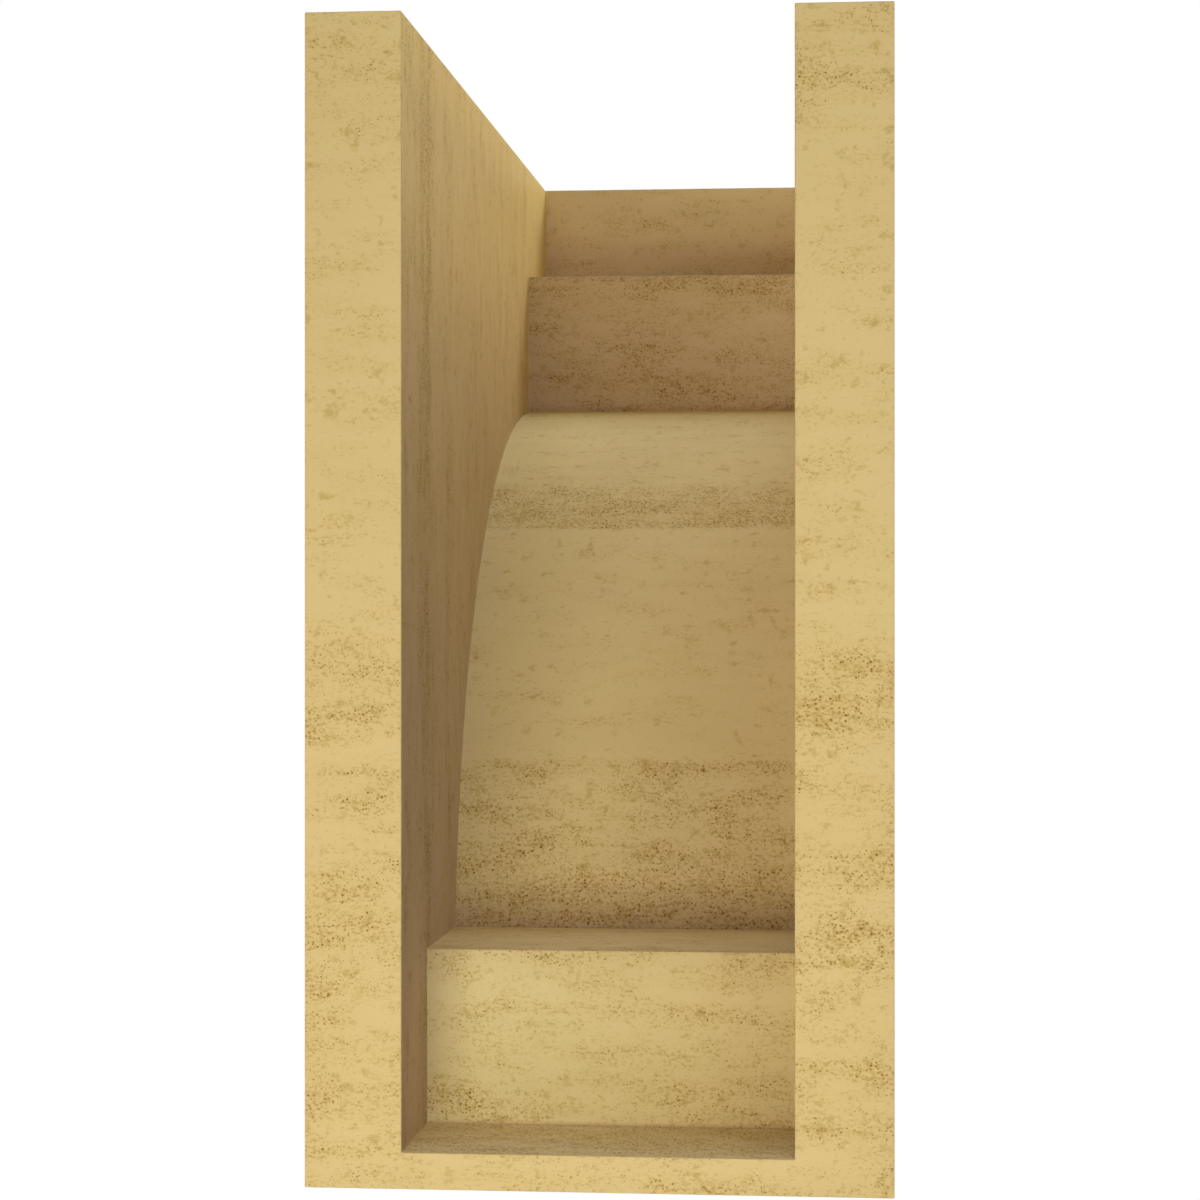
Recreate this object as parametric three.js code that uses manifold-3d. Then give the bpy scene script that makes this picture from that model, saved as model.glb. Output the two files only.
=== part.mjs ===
// A stepped cove corbel for a wall, moulded as one hollow piece.
// Seen from the side it climbs from a short foot, over a hollow cove, to a neck and a projecting head.
// Two thick cheeks keep that outline, and a thin front shell follows it between them, foot to head.
// The back and the top are open: the corbel slides over a block on the wall and is closed by what it carries.
// Millimetres, +Z up. The wall is the plane Y = 0 and the corbel projects towards -Y.
// The origin is on the wall face, in the middle of the strip below the hollow.

import * as THREE from "three";
import { mergeVertices } from "three/addons/utils/BufferGeometryUtils.js";
import Module from "manifold-3d";

// Across the wall
const width = 152.4;
const cheekWall = 25.4;
const shellWall = 9.525;

// Out from the wall, from the foot to the front of the head
const footDepth = 47.625;
const footStep = 47.625;
const coveRun = 161.925;
const headStep = 47.625;

// Up from the underside
const footHeight = 47.625;
const coveRise = 161.925;
const neckHeight = 47.625;
const headHeight = 47.625;

// The cove is an arc from corner to corner: its hollow is measured from the straight line between them.
const coveHollow = 45.2;
const coveFacets = 48;

// How far the cutter of the hollow stands past the open faces
const pastFace = 10;

// Places on the outline: "out" is the distance from the wall, "up" the height over the underside
const coveFoot = new THREE.Vector2(footDepth + footStep, footHeight);
const coveHead = new THREE.Vector2(coveFoot.x + coveRun, coveFoot.y + coveRise);
const neckTop = coveHead.y + neckHeight;
const headFront = coveHead.x + headStep;
const top = neckTop + headHeight;

// Circle of the cove, centred in front of and below the chord
const chord = coveHead.clone().sub(coveFoot);
const halfChord = chord.length() / 2;
const coveRadius = (halfChord ** 2 + coveHollow ** 2) / (2 * coveHollow);
const towardsFront = new THREE.Vector2(chord.y, -chord.x).normalize();
const coveCentre = coveFoot
  .clone()
  .add(coveHead)
  .multiplyScalar(0.5)
  .addScaledVector(towardsFront, coveRadius - coveHollow);

// Points along the cove's circle, of any radius, from a point near the foot to one near the head
function covePoints(radius, from, to) {
  const startAngle = Math.atan2(from.y - coveCentre.y, from.x - coveCentre.x);
  const endAngle = Math.atan2(to.y - coveCentre.y, to.x - coveCentre.x);
  const arc = new THREE.EllipseCurve(
    coveCentre.x,
    coveCentre.y,
    radius,
    radius,
    startAngle,
    endAngle,
    true,
  );
  return arc.getPoints(coveFacets);
}

function outerOutline() {
  return [
    new THREE.Vector2(0, 0),
    new THREE.Vector2(footDepth, 0),
    new THREE.Vector2(footDepth, footHeight),
    ...covePoints(coveRadius, coveFoot, coveHead),
    new THREE.Vector2(coveHead.x, neckTop),
    new THREE.Vector2(headFront, neckTop),
    new THREE.Vector2(headFront, top),
    new THREE.Vector2(0, top),
  ];
}

// The hollow runs one shell wall inside the outline, and out past the open back and top.
function hollowOutline() {
  const radius = coveRadius + shellWall;
  const ledge = footHeight + shellWall;
  const neckFace = coveHead.x - shellWall;
  const overFoot = new THREE.Vector2(
    coveCentre.x - Math.sqrt(radius ** 2 - (ledge - coveCentre.y) ** 2),
    ledge,
  );
  const underNeck = new THREE.Vector2(
    neckFace,
    coveCentre.y + Math.sqrt(radius ** 2 - (neckFace - coveCentre.x) ** 2),
  );
  return [
    new THREE.Vector2(-pastFace, shellWall),
    new THREE.Vector2(footDepth - shellWall, shellWall),
    new THREE.Vector2(footDepth - shellWall, ledge),
    ...covePoints(radius, overFoot, underNeck),
    new THREE.Vector2(neckFace, neckTop + shellWall),
    new THREE.Vector2(headFront - shellWall, neckTop + shellWall),
    new THREE.Vector2(headFront - shellWall, top + pastFace),
    new THREE.Vector2(-pastFace, top + pastFace),
  ];
}

// An outline drawn in (out, up), extruded across the wall and centred on it
function acrossWall(outline, across) {
  const geometry = new THREE.ExtrudeGeometry(new THREE.Shape(outline), {
    depth: across,
    bevelEnabled: false,
  });
  geometry.translate(0, 0, -across / 2);
  // out goes to -Y, up to +Z and the extrusion to -X, which is a turn and no mirror
  const axes = new THREE.Matrix4().makeBasis(
    new THREE.Vector3(0, -1, 0),
    new THREE.Vector3(0, 0, 1),
    new THREE.Vector3(-1, 0, 0),
  );
  return geometry.applyMatrix4(axes);
}

const wasm = await Module();
wasm.setup();

function toSolid(geometry) {
  const bare = geometry.clone();
  bare.deleteAttribute("normal");
  bare.deleteAttribute("uv");
  const merged = mergeVertices(bare);
  return new wasm.Manifold(
    new wasm.Mesh({
      numProp: 3,
      vertProperties: merged.attributes.position.array,
      triVerts: new Uint32Array(merged.index.array),
    }),
  );
}

function toGeometry(solid) {
  const mesh = solid.getMesh();
  const geometry = new THREE.BufferGeometry();
  geometry.setAttribute(
    "position",
    new THREE.BufferAttribute(mesh.vertProperties, mesh.numProp),
  );
  geometry.setIndex(new THREE.BufferAttribute(mesh.triVerts, 1));
  geometry.computeVertexNormals();
  return geometry;
}

const block = toSolid(acrossWall(outerOutline(), width));
const hollow = toSolid(acrossWall(hollowOutline(), width - 2 * cheekWall));

// Golden tan stain over a matte moulded surface
const goldenTan = new THREE.MeshStandardMaterial({
  color: 0xd9c07f,
  roughness: 0.75,
  metalness: 0,
});

const corbel = new THREE.Mesh(toGeometry(block.subtract(hollow)), goldenTan);
corbel.name = "corbel";
corbel.position.z = -shellWall / 2;

const part = new THREE.Group();
part.add(corbel);

export default part;
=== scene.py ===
import math

import bpy
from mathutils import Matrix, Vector


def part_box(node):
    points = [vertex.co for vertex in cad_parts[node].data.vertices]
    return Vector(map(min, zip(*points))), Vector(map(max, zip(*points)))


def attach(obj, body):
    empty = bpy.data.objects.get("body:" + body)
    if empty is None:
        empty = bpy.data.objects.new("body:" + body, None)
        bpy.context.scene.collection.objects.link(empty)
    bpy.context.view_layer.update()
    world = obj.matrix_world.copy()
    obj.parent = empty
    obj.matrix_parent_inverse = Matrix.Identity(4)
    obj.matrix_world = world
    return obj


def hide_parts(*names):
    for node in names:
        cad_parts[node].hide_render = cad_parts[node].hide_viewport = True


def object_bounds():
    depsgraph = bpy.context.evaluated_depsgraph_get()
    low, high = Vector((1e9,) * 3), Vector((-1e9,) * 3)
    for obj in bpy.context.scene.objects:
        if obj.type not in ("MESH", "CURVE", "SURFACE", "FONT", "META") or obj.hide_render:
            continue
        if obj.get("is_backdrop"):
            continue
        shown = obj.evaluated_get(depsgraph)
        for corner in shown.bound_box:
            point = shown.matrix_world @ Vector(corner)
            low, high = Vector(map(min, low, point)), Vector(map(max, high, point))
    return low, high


# A hollow corbel, moulded in one piece, seen from the side that goes on the wall.
# Metres. The wall is the plane y = 0, the corbel projects towards -y, and z is up.

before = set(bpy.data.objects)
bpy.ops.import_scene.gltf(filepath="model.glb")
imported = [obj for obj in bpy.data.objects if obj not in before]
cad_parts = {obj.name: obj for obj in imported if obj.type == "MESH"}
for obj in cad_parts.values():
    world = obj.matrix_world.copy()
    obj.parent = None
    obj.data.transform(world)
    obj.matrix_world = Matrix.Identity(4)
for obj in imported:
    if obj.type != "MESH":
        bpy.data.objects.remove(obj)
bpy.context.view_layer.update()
print("frame loaded")

# Sizes that the solid's box doesn't give
moulding = {
    "cheekWall": 0.0254,
    "shellWall": 0.009525,
    "footDepth": 0.047625,
    "footStep": 0.047625,
    "headStep": 0.047625,
    "footHeight": 0.047625,
    "neckHeight": 0.047625,
    "headHeight": 0.047625,
    "coveHollow": 0.0452,    # from the straight line between the cove's ends to its deepest point
    "coveFacets": 96,
    "pastFace": 0.01,        # how far the cutter of the hollow stands past the open faces
    "weld": 0.00001,
    "arris": 0.0004,         # how far the edges are softened
    "arrisSteps": 3,
    "arrisAngle": 30,        # degrees: edges sharper than this are softened
    "smoothAngle": 15,       # degrees: edges flatter than this are shaded smooth
}

# The camera, in the photograph's frame of 1200 pixels
photoView = {
    "out": 0.6614,           # from the wall face
    "side": -0.0711,
    "up": 0.1473,
    "turn": 0.084,           # radians, away from square to the back
    "focal": 2589.4,
    "centre": (656.5, 601.1),
    "frameSize": 1200,
    "filmWidth": 36.0,
}

low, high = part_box("corbel")
width = high.x - low.x
height = high.z - low.z
projection = high.y - low.y


# Camera
def setCamera():
    lens = bpy.data.cameras.new("photoCamera")
    lens.sensor_width = photoView["filmWidth"]
    lens.lens = photoView["focal"] / photoView["frameSize"] * photoView["filmWidth"]
    lens.shift_x = 0.5 - photoView["centre"][0] / photoView["frameSize"]
    lens.shift_y = photoView["centre"][1] / photoView["frameSize"] - 0.5
    camera = bpy.data.objects.new("photoCamera", lens)
    camera.location = (photoView["side"], photoView["out"], photoView["up"])
    camera.rotation_euler = (math.radians(90), 0, math.radians(180) + photoView["turn"])
    bpy.context.scene.collection.objects.link(camera)
    bpy.context.scene.camera = camera


setCamera()
print("camera set")


# The outline, as places (out from the wall, up from the underside)
coveRun = projection - moulding["footDepth"] - moulding["footStep"] - moulding["headStep"]
coveRise = height - moulding["footHeight"] - moulding["neckHeight"] - moulding["headHeight"]
coveFoot = Vector((moulding["footDepth"] + moulding["footStep"], moulding["footHeight"]))
coveHead = coveFoot + Vector((coveRun, coveRise))
halfChord = (coveHead - coveFoot).length / 2
coveRadius = (halfChord ** 2 + moulding["coveHollow"] ** 2) / (2 * moulding["coveHollow"])
towardsFront = Vector((coveRise, -coveRun)).normalized()
coveCentre = (coveFoot + coveHead) / 2 + towardsFront * (coveRadius - moulding["coveHollow"])


def onCove(radius, out=None, up=None):
    # the point of the cove's circle at a distance out or at a height
    if up is not None:
        return Vector((coveCentre.x - math.sqrt(radius ** 2 - (up - coveCentre.y) ** 2), up))
    return Vector((out, coveCentre.y + math.sqrt(radius ** 2 - (out - coveCentre.x) ** 2)))


def inScene(place, x):
    return Vector((x, high.y - place.x, low.z + place.y))


def traceBlock(name, stops, coveEnds, across):
    # one vertex is drawn along the outline, spun round the cove, closed, filled and pulled across the wall
    bpy.ops.object.select_all(action="DESELECT")
    start = inScene(stops[0], -across / 2)
    bpy.ops.mesh.primitive_plane_add(size=0.01, location=start)    # of any size: it becomes one vertex
    block = bpy.context.object
    block.name = name
    bpy.ops.object.transform_apply(location=True)
    bpy.ops.object.mode_set(mode="EDIT")
    bpy.ops.mesh.select_all(action="SELECT")
    bpy.ops.mesh.merge(type="CENTER")
    pen = stops[0]
    for stop in stops[1:] + stops[:1]:
        if stop is coveEnds[1]:
            fromCentre = coveEnds[0] - coveCentre
            toCentre = coveEnds[1] - coveCentre
            sweep = math.atan2(fromCentre.y, fromCentre.x) - math.atan2(toCentre.y, toCentre.x)
            bpy.ops.mesh.spin(
                steps=moulding["coveFacets"],
                angle=sweep,
                center=inScene(coveCentre, -across / 2),
                axis=(-1, 0, 0),
            )
        else:
            step = inScene(stop, 0) - inScene(pen, 0)
            bpy.ops.mesh.extrude_region_move(TRANSFORM_OT_translate={"value": step})
        pen = stop
    bpy.ops.mesh.select_all(action="SELECT")
    bpy.ops.mesh.remove_doubles(threshold=moulding["weld"])
    bpy.ops.mesh.edge_face_add()
    bpy.ops.mesh.extrude_region_move(TRANSFORM_OT_translate={"value": (across, 0, 0)})
    bpy.ops.mesh.select_all(action="SELECT")
    bpy.ops.mesh.normals_make_consistent(inside=False)
    bpy.ops.object.mode_set(mode="OBJECT")
    return block


def outerStops():
    foot = moulding["footDepth"]
    neckTop = coveHead.y + moulding["neckHeight"]
    return [
        Vector((0, 0)),
        Vector((foot, 0)),
        Vector((foot, moulding["footHeight"])),
        coveFoot,
        coveHead,
        Vector((coveHead.x, neckTop)),
        Vector((projection, neckTop)),
        Vector((projection, height)),
        Vector((0, height)),
    ]


def hollowStops(overFoot, underNeck):
    # one shell wall inside the outline, and out past the open back and top
    wall, past = moulding["shellWall"], moulding["pastFace"]
    footFace = moulding["footDepth"] - wall
    neckShelf = coveHead.y + moulding["neckHeight"] + wall
    return [
        Vector((-past, wall)),
        Vector((footFace, wall)),
        Vector((footFace, overFoot.y)),
        overFoot,
        underNeck,
        Vector((underNeck.x, neckShelf)),
        Vector((projection - wall, neckShelf)),
        Vector((projection - wall, height + past)),
        Vector((-past, height + past)),
    ]


def makeCorbel():
    wall = moulding["shellWall"]
    piece = traceBlock("corbelMoulding", outerStops(), (coveFoot, coveHead), width)
    overFoot = onCove(coveRadius + wall, up=moulding["footHeight"] + wall)
    underNeck = onCove(coveRadius + wall, out=coveHead.x - wall)
    inside = width - 2 * moulding["cheekWall"]
    hollow = traceBlock("hollow", hollowStops(overFoot, underNeck), (overFoot, underNeck), inside)

    bpy.ops.object.select_all(action="DESELECT")
    piece.select_set(True)
    bpy.context.view_layer.objects.active = piece
    bpy.ops.object.modifier_add(type="BOOLEAN")
    cut = piece.modifiers[-1]
    cut.operation = "DIFFERENCE"
    cut.solver = "EXACT"
    cut.object = hollow
    bpy.ops.object.modifier_apply(modifier=cut.name)
    bpy.data.objects.remove(hollow)

    bpy.ops.object.modifier_add(type="BEVEL")
    soften = piece.modifiers[-1]
    soften.width = moulding["arris"]
    soften.segments = moulding["arrisSteps"]
    soften.limit_method = "ANGLE"
    soften.angle_limit = math.radians(moulding["arrisAngle"])
    bpy.ops.object.modifier_apply(modifier=soften.name)
    bpy.ops.object.shade_smooth_by_angle(angle=math.radians(moulding["smoothAngle"]))
    return piece


corbel = makeCorbel()
print("corbel modelled", len(corbel.data.polygons), "faces")


# The moulding's surfaces. Each stop begins with a place across the bands of specks, in metres: the z of
# upright faces, the y of level faces and cheeks, and the way up the arc on the cove. A stop of the specks
# says how densely they lie there, 0 to 1, and a stop of painted light and shade what the colour is multiplied
# by: painted shade in the creases, low on the inner walls and deep in the hollow, painted light where the
# lamps reach. The places of the painted light and shade that runs along the bands run along them instead:
# the z of the cheeks, and the x of the other surfaces.
surfaces = {
    "back": {
        "specks": [
            (-0.005, 0.50), (0.006, 0.42), (0.024, 0.60), (0.039, 0.45), (0.051, 0.50), (0.058, 0.85),
            (0.070, 0.60), (0.078, 0.72), (0.090, 0.28), (0.100, 0.52), (0.108, 0.30), (0.118, 0.85),
            (0.127, 0.66), (0.136, 0.52), (0.146, 0.20), (0.168, 0.26), (0.186, 0.12), (0.202, 0.24),
            (0.225, 0.14), (0.231, 0.44), (0.245, 0.08), (0.268, 0.28), (0.282, 0.52), (0.300, 0.34),
        ],
    },
    "foot": {
        "specks": [(0.005, 0.56), (0.012, 0.60), (0.020, 0.40), (0.033, 0.48), (0.040, 0.30), (0.052, 0.50)],
        "paintedLightAndShade": [
            (0.0045, (0.80, 0.72, 0.80)), (0.006, (1.13, 1.22, 1.32)), (0.030, (0.97, 1.02, 1.07)),
            (0.052, (0.89, 0.92, 0.98)),
        ],
        "alongPaintedLightAndShade": [(-0.040, (1.01, 0.97, 0.93)), (0.008, (1.01, 1.01, 0.99)), (0.045, (1.06, 1.09, 1.13))],
    },
    "shelf": {
        "specks": [(-0.095, 0.40), (-0.050, 0.34), (-0.038, 0.92), (-0.010, 0.92), (0.000, 0.70)],
        "paintedLightAndShade": [
            (-0.095, (1.01, 1.04, 1.16)), (-0.042, (1.01, 1.04, 1.16)), (-0.036, (1.08, 1.15, 1.40)),
            (0.000, (1.12, 1.21, 1.58)),
        ],
    },
    "cove": {
        "specks": [
            (0.015, 0.95), (0.026, 0.88), (0.036, 0.75), (0.046, 0.62), (0.0635, 0.66), (0.0655, 0.10),
            (0.095, 0.14), (0.100, 0.26), (0.106, 0.12), (0.149, 0.12), (0.1505, 0.90), (0.163, 0.84),
            (0.171, 0.68), (0.176, 0.26), (0.200, 0.14), (0.265, 0.10),
        ],
        "paintedLightAndShade": [
            (0.015, (0.69, 0.65, 0.83)), (0.030, (1.04, 1.08, 1.17)), (0.071, (0.90, 0.91, 0.93)),
            (0.119, (1.01, 1.05, 1.13)), (0.190, (1.20, 1.31, 1.34)), (0.2617, (1.24, 1.36, 1.38)),
            (0.2645, (0.70, 0.62, 0.72)),
        ],
        "alongPaintedLightAndShade": [
            (-0.034, (0.965, 0.94, 0.93)), (0.000, (1.01, 1.01, 1.01)), (0.038, (1.04, 1.06, 1.06)),
            (0.0508, (1.06, 1.11, 1.20)),
        ],
    },
    "neck": {
        "specks": [
            (0.214, 0.74), (0.222, 0.70), (0.230, 0.54), (0.242, 0.42), (0.252, 0.50), (0.2575, 0.85),
            (0.263, 0.80), (0.268, 0.34), (0.278, 0.34), (0.286, 0.40), (0.300, 0.26),
        ],
        "paintedLightAndShade": [
            (0.214, (0.76, 0.70, 0.95)), (0.217, (0.88, 0.87, 1.24)), (0.255, (0.91, 0.91, 1.13)),
            (0.274, (0.95, 0.89, 1.13)), (0.284, (1.08, 1.08, 1.25)), (0.300, (1.05, 1.04, 1.11)),
        ],
    },
    "cheek": {
        "specks": [
            (-0.295, 0.20), (-0.250, 0.20), (-0.190, 0.36), (-0.150, 0.18), (-0.120, 0.40), (-0.085, 0.16),
            (-0.074, 0.68), (-0.064, 0.22), (-0.050, 0.28), (-0.041, 0.90), (-0.032, 0.72), (-0.020, 0.36),
            (0.000, 0.45),
        ],
        "alongPaintedLightAndShade": [
            (0.000, (0.69, 0.68, 0.99)), (0.122, (0.77, 0.80, 1.08)), (0.211, (0.96, 0.99, 1.18)),
            (0.250, (1.10, 1.11, 1.07)), (0.300, (1.17, 1.15, 0.93)),
        ],
    },
    "outside": {
        "specks": [
            (-0.305, 0.30), (-0.180, 0.45), (-0.090, 0.20), (0.020, 0.50), (0.110, 0.25), (0.200, 0.50),
            (0.300, 0.30),
        ],
    },
}
facing = 0.7                            # the least share of a normal that points the way a face looks
intoHollow = 0.3                        # the same for the cove's faces, back and up taken together
nearArc = moulding["shellWall"] / 8     # how far the middle of a cove face may lie off the arc


def surfaceOf(face):
    centre, normal = face.center, face.normal
    wall = moulding["shellWall"]
    edge = 2 * moulding["arris"]
    fromArc = (Vector((high.y - centre.y, centre.z - low.z)) - coveCentre).length - coveRadius - wall
    inHollow = abs(centre.x) < width / 2 - moulding["cheekWall"] + edge and centre.y < high.y - edge
    if centre.y > high.y - edge and normal.y > facing:
        return "back"
    if not inHollow or centre.z > high.z - edge:
        return "outside"
    if abs(normal.x) > facing:
        return "cheek"
    if abs(fromArc) < nearArc and normal.y + normal.z > intoHollow:
        return "cove"
    if normal.y > facing:
        return "foot" if centre.z < low.z + moulding["footHeight"] + wall else "neck"
    return "shelf" if normal.z > facing else "outside"


def alongAndAcross(surface, normal, place):
    # the bands run across the wall on most faces, and up the faces of the cheeks
    if surface == "cove":
        fromCentre = Vector((high.y - place.y, place.z - low.z)) - coveCentre
        swept = math.pi - math.atan2(fromCentre.y, fromCentre.x)
        return place.x, swept * fromCentre.length
    if abs(normal.x) > facing:
        return place.z, place.y
    return place.x, place.y if abs(normal.z) > facing else place.z


def layGrain(piece):
    # each corner of each face keeps its place along and across the bands, and the number of its surface
    mesh = piece.data
    grain = mesh.attributes.new("grain", "FLOAT_VECTOR", "CORNER")
    for face in mesh.polygons:
        surface = surfaceOf(face)
        number = list(surfaces).index(surface)
        face.material_index = number
        for corner in face.loop_indices:
            place = mesh.vertices[mesh.loops[corner].vertex_index].co
            grain.data[corner].vector = (*alongAndAcross(surface, face.normal, place), number)


# The moulding's stain and the marks on it. A size is in metres, along the bands and across them. The two
# ends of a reach or a limit hold where the specks lie thin and where they crowd.
stain = {
    "clean": (0.75, 0.56, 0.237),
    "haze": (0.68, 0.49, 0.176),       # yellower ground where the specks crowd
    "hazePull": 0.5,
    "surfaceStep": 7.3,                # in pattern cells, from one surface's pattern to the next one's
    "cluster": {"size": (0.022, 0.0075), "detail": 5, "grit": 0.68, "seed": 3.1, "pull": 3.0},
    "cloud": {"size": (0.12, 0.02), "detail": 3, "grit": 0.55, "seed": 4.4, "pull": 0.6},
    "streak": {
        "size": (0.016, 0.0008),
        "detail": 2,
        "grit": 0.55,
        "seed": 6.6,
        "limit": 0.58,
        "edge": 1.5,
        "least": 0.15,
    },
    "flake": {
        "colour": (0.58, 0.40, 0.12),
        "size": (0.0046, 0.0038),
        "detail": 4,
        "grit": 0.65,
        "seed": 1.7,
        "limit": (0.59, 0.56),
        "edge": 9.0,
        "strength": 0.8,
    },
    "dust": {
        "size": (0.0012, 0.0008),
        "detail": 3,
        "grit": 0.6,
        "seed": 9.4,
        "limit": (0.62, 0.44),
        "edge": 4.0,
        "strength": 0.6,
    },
    "stipple": {
        "colour": (0.405, 0.225, 0.032),
        "size": (0.0010, 0.00085),
        "seed": 8.2,
        "reach": (0.08, 0.45),         # of a cell
        "edge": 6.0,
        "rarity": 0.8,
    },
    "speck": {
        "colour": (0.25, 0.115, 0.011),
        "size": (0.0013, 0.0011),
        "seed": 2.6,
        "reach": (0.00, 0.35),
        "edge": 8.0,
        "rarity": 1.2,
    },
    "pitDepth": 0.00010,
    "pitStrength": 0.3,
    "roughness": (0.72, 0.86),
    "gloss": 0.25,
}


def addNode(tree, kind, inputs=None, **settings):
    node = tree.nodes.new(kind)
    for name, value in settings.items():
        setattr(node, name, value)
    for socket, value in (inputs or {}).items():
        if isinstance(value, bpy.types.NodeSocket):
            tree.links.new(value, node.inputs[socket])
        else:
            node.inputs[socket].default_value = value
    return node


def reckon(tree, operation, first, second=0.0, clamp=False):
    node = addNode(tree, "ShaderNodeMath", {0: first, 1: second}, operation=operation, use_clamp=clamp)
    return node.outputs[0]


def between(tree, amount, ends):
    # the value that lies a share of the way from one end to the other
    return reckon(tree, "ADD", reckon(tree, "MULTIPLY", amount, ends[1] - ends[0]), ends[0])


def over(tree, value, limit, edge):
    # how far a value is over a limit, from 0 to 1
    return reckon(tree, "MULTIPLY", reckon(tree, "SUBTRACT", value, limit), edge, clamp=True)


def stretched(tree, grain, layer):
    # the surface number keeps the pattern of one surface apart from the next
    along, across = layer["size"]
    node = addNode(
        tree,
        "ShaderNodeVectorMath",
        {0: grain, 1: (1 / along, 1 / across, stain["surfaceStep"]), 2: (0, 0, layer["seed"])},
        operation="MULTIPLY_ADD",
    )
    return node.outputs[0]


def noiseOn(tree, grain, layer):
    pattern = {
        "Vector": stretched(tree, grain, layer),
        "Scale": 1.0,
        "Detail": layer["detail"],
        "Roughness": layer["grit"],
    }
    return addNode(tree, "ShaderNodeTexNoise", pattern).outputs[0]


def swingOf(tree, grain, layer):
    # how far the noise is from its middle, more or less
    swing = reckon(tree, "SUBTRACT", noiseOn(tree, grain, layer), 0.5)
    return reckon(tree, "MULTIPLY", swing, layer["pull"])


def patchesOn(tree, grain, density, layer):
    # ragged patches where the noise is over its limit, and more of them where the specks crowd
    patch = over(tree, noiseOn(tree, grain, layer), between(tree, density, layer["limit"]), layer["edge"])
    return reckon(tree, "MULTIPLY", patch, layer["strength"])


def dotsOn(tree, grain, density, layer):
    # round dots, wider where they crowd, each as dark as its cell says
    cell = addNode(tree, "ShaderNodeTexVoronoi", {"Vector": stretched(tree, grain, layer), "Scale": 1.0})
    reach = between(tree, density, layer["reach"])
    dot = reckon(tree, "SUBTRACT", reach, cell.outputs["Distance"])
    dot = reckon(tree, "MULTIPLY", dot, layer["edge"], clamp=True)
    chance = addNode(tree, "ShaderNodeSeparateXYZ", {0: cell.outputs["Color"]}).outputs[0]
    return reckon(tree, "MULTIPLY", dot, reckon(tree, "POWER", chance, layer["rarity"]))


def mixColour(tree, amount, first, second, blend="MIX"):
    node = addNode(tree, "ShaderNodeMix", {0: amount}, data_type="RGBA", blend_type=blend)
    for socket, value in ((node.inputs[6], first), (node.inputs[7], second)):
        if isinstance(value, bpy.types.NodeSocket):
            tree.links.new(value, socket)
        else:
            socket.default_value = (*value, 1)
    return node.outputs[2]


def rampOver(tree, places, stops):
    # a ramp over places on the surface, through the colours or greys of its stops
    first, last = stops[0][0], stops[-1][0]
    share = addNode(tree, "ShaderNodeMapRange", {"Value": places, "From Min": first, "From Max": last})
    ramp = addNode(tree, "ShaderNodeValToRGB", {"Fac": share.outputs[0]})
    marks = ramp.color_ramp.elements
    middle = [marks.new((place - first) / (last - first)) for place, _ in stops[1:-1]]
    for mark, (_, value) in zip([marks[0], *middle, marks[-1]], stops):
        mark.color = (*value, 1) if isinstance(value, tuple) else (value, value, value, 1)
    return ramp.outputs[0]


def speckledFinish(name, surface):
    finish = bpy.data.materials.new(name)
    finish.use_nodes = True
    tree = finish.node_tree
    shader = tree.nodes["Principled BSDF"]
    grain = addNode(tree, "ShaderNodeAttribute", attribute_name="grain").outputs["Vector"]
    along, across, _ = addNode(tree, "ShaderNodeSeparateXYZ", {0: grain}).outputs

    # how densely the specks lie: the bands, pulled together into clusters
    cluster = swingOf(tree, grain, stain["cluster"])
    density = reckon(tree, "ADD", rampOver(tree, across, surface["specks"]), cluster, clamp=True)

    # the ground, a little yellower where the specks crowd and in broad clouds
    cloud = swingOf(tree, grain, stain["cloud"])
    haze = reckon(tree, "ADD", reckon(tree, "MULTIPLY", density, stain["hazePull"]), cloud, clamp=True)
    colour = mixColour(tree, haze, stain["clean"], stain["haze"])

    # streaks, thin lines along the band, and pale flakes
    streak = stain["streak"]
    lines = over(tree, noiseOn(tree, grain, streak), streak["limit"], streak["edge"])
    lines = reckon(tree, "MULTIPLY", lines, reckon(tree, "ADD", density, streak["least"]))
    colour = mixColour(tree, lines, colour, stain["flake"]["colour"])
    flakes = patchesOn(tree, grain, density, stain["flake"])
    colour = mixColour(tree, flakes, colour, stain["flake"]["colour"])

    # dust, fine pale stipple, and specks that are larger, darker and fewer
    dust = patchesOn(tree, grain, density, stain["dust"])
    stipple = dotsOn(tree, grain, density, stain["stipple"])
    specks = dotsOn(tree, grain, density, stain["speck"])
    colour = mixColour(tree, dust, colour, stain["stipple"]["colour"])
    colour = mixColour(tree, stipple, colour, stain["stipple"]["colour"])
    colour = mixColour(tree, specks, colour, stain["speck"]["colour"])

    # painted light and shade: ramps across and along the bands multiply the colour, darker in the creases,
    # low on the inner walls and deep in the hollow, lighter where the lamps reach
    for paintedLightAndShade, places in (("paintedLightAndShade", across), ("alongPaintedLightAndShade", along)):
        if paintedLightAndShade in surface:
            colour = mixColour(tree, 1.0, colour, rampOver(tree, places, surface[paintedLightAndShade]), blend="MULTIPLY")
    tree.links.new(colour, shader.inputs["Base Color"])

    rough = between(tree, reckon(tree, "ADD", specks, cloud, clamp=True), stain["roughness"])
    tree.links.new(rough, shader.inputs["Roughness"])
    shader.inputs["Specular IOR Level"].default_value = stain["gloss"]
    relief = reckon(tree, "MULTIPLY", reckon(tree, "MAXIMUM", specks, stipple), -1.0)
    bump = {"Height": relief, "Strength": stain["pitStrength"], "Distance": stain["pitDepth"]}
    tree.links.new(addNode(tree, "ShaderNodeBump", bump).outputs[0], shader.inputs["Normal"])
    return finish


corbel.data.materials.clear()
for name, surface in surfaces.items():
    corbel.data.materials.append(speckledFinish(name + "Finish", surface))
layGrain(corbel)
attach(corbel, "root")
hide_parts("corbel")
print("finish made")

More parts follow.
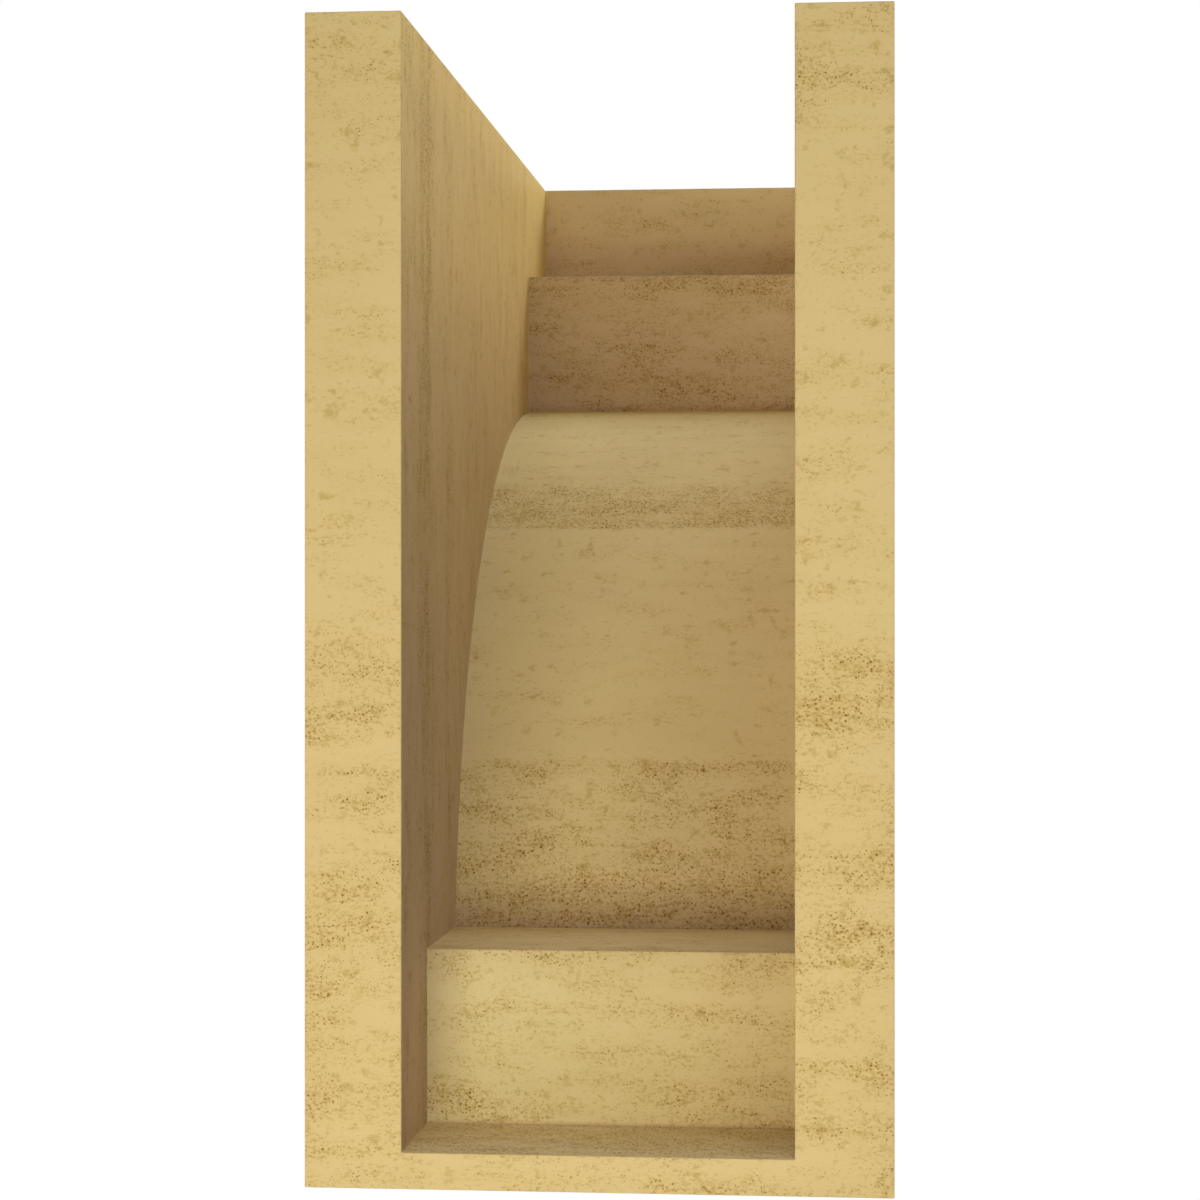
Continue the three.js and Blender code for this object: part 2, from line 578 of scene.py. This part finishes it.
# Soft square lamps round the part. Each has its angle from the back, towards the part's +x side, its angle
# up, its distance and size in metres, its watts and its tone.
studio = {
    "aim": (0, -0.1, 0.15),
    "tones": {"warm": (1.00, 0.97, 0.89), "plain": (1.00, 1.00, 1.00), "cool": (1.00, 1.08, 1.34)},
    "lamps": {
        "key": (11.6, -10.7, 0.81, 0.25, 1.28, "warm"),
        "keyRight": (-10, 5, 0.81, 0.25, 0.42, "cool"),
        "left": (32, 10, 0.90, 0.40, 0.42, "warm"),
        "right": (-32, 10, 0.90, 0.40, 0.98, "warm"),
        "farRight": (-60, 5, 0.90, 0.40, 0.32, "warm"),
        "low": (8, -35, 0.70, 0.30, 1.26, "plain"),
        "high": (10, 30, 0.90, 0.40, 0.88, "warm"),
        "highRight": (-40, 32, 0.90, 0.40, 0.46, "cool"),
        "overhead": (170, 82, 0.90, 0.40, 0.36, "cool"),
        "overFront": (178, 60, 0.90, 0.40, 1.75, "cool"),
        "overCorner": (-135, 35, 0.90, 0.40, 2.45, "plain"),
        "front": (180, 5, 1.20, 0.50, 4.20, "warm"),
        "under": (180, -50, 1.20, 0.50, 2.00, "warm"),
        "leftSide": (95, 5, 1.20, 0.50, 5.00, "warm"),
        "rightSide": (-95, 5, 1.20, 0.50, 3.40, "warm"),
    },
    "skyLight": 0.05,
    "floorDrop": 1.2,        # below the part
    "floorSize": 60,
    "floorTone": 0.9,
    "floorRoughness": 0.9,
}


# Floor, background and light
def whiteToCamera(tree, shader, glow):
    # pure white where it is seen directly, its own light on everything else
    seen = addNode(tree, "ShaderNodeLightPath").outputs["Is Camera Ray"]
    white = addNode(tree, glow, {"Color": (1, 1, 1, 1), "Strength": 1.0}).outputs[0]
    return addNode(tree, "ShaderNodeMixShader", {0: seen, 1: shader, 2: white}).outputs[0]


def addLamp(name, azimuth, elevation, distance, size, watts, tone):
    azimuth, elevation = math.radians(azimuth), math.radians(elevation)
    aim = Vector(studio["aim"])
    across, out = math.sin(azimuth) * math.cos(elevation), math.cos(azimuth) * math.cos(elevation)
    data = bpy.data.lights.new(name, "AREA")
    data.shape = "SQUARE"
    data.size = size
    data.energy = watts
    data.color = studio["tones"][tone]
    lamp = bpy.data.objects.new(name, data)
    lamp.location = aim + Vector((across, out, math.sin(elevation))) * distance
    lamp.rotation_euler = (aim - lamp.location).to_track_quat("-Z", "Y").to_euler()
    lamp.visible_camera = False
    bpy.context.scene.collection.objects.link(lamp)


def setFloor():
    bpy.ops.object.select_all(action="DESELECT")
    bpy.ops.mesh.primitive_plane_add(size=studio["floorSize"], location=(0, 0, low.z - studio["floorDrop"]))
    floor = bpy.context.object
    floor.name = "floor"
    paint = bpy.data.materials.new("paleFloor")
    paint.use_nodes = True
    tree = paint.node_tree
    shader = tree.nodes["Principled BSDF"]
    tone = studio["floorTone"]
    shader.inputs["Base Color"].default_value = (tone, tone, tone, 1)
    shader.inputs["Roughness"].default_value = studio["floorRoughness"]
    shown = whiteToCamera(tree, shader.outputs[0], "ShaderNodeEmission")
    tree.links.new(shown, tree.nodes["Material Output"].inputs["Surface"])
    floor.data.materials.append(paint)
    floor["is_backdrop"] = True


def setSky():
    world = bpy.data.worlds.new("studio")
    world.use_nodes = True
    tree = world.node_tree
    sky = tree.nodes["Background"]
    sky.inputs["Color"].default_value = (1, 1, 1, 1)
    sky.inputs["Strength"].default_value = studio["skyLight"]
    shown = whiteToCamera(tree, sky.outputs[0], "ShaderNodeBackground")
    tree.links.new(shown, tree.nodes["World Output"].inputs["Surface"])
    bpy.context.scene.world = world


setFloor()
setSky()
for name, setting in studio["lamps"].items():
    addLamp(name, *setting)
bpy.context.scene.view_settings.view_transform = "Standard"
print("stage set")

low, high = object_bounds()
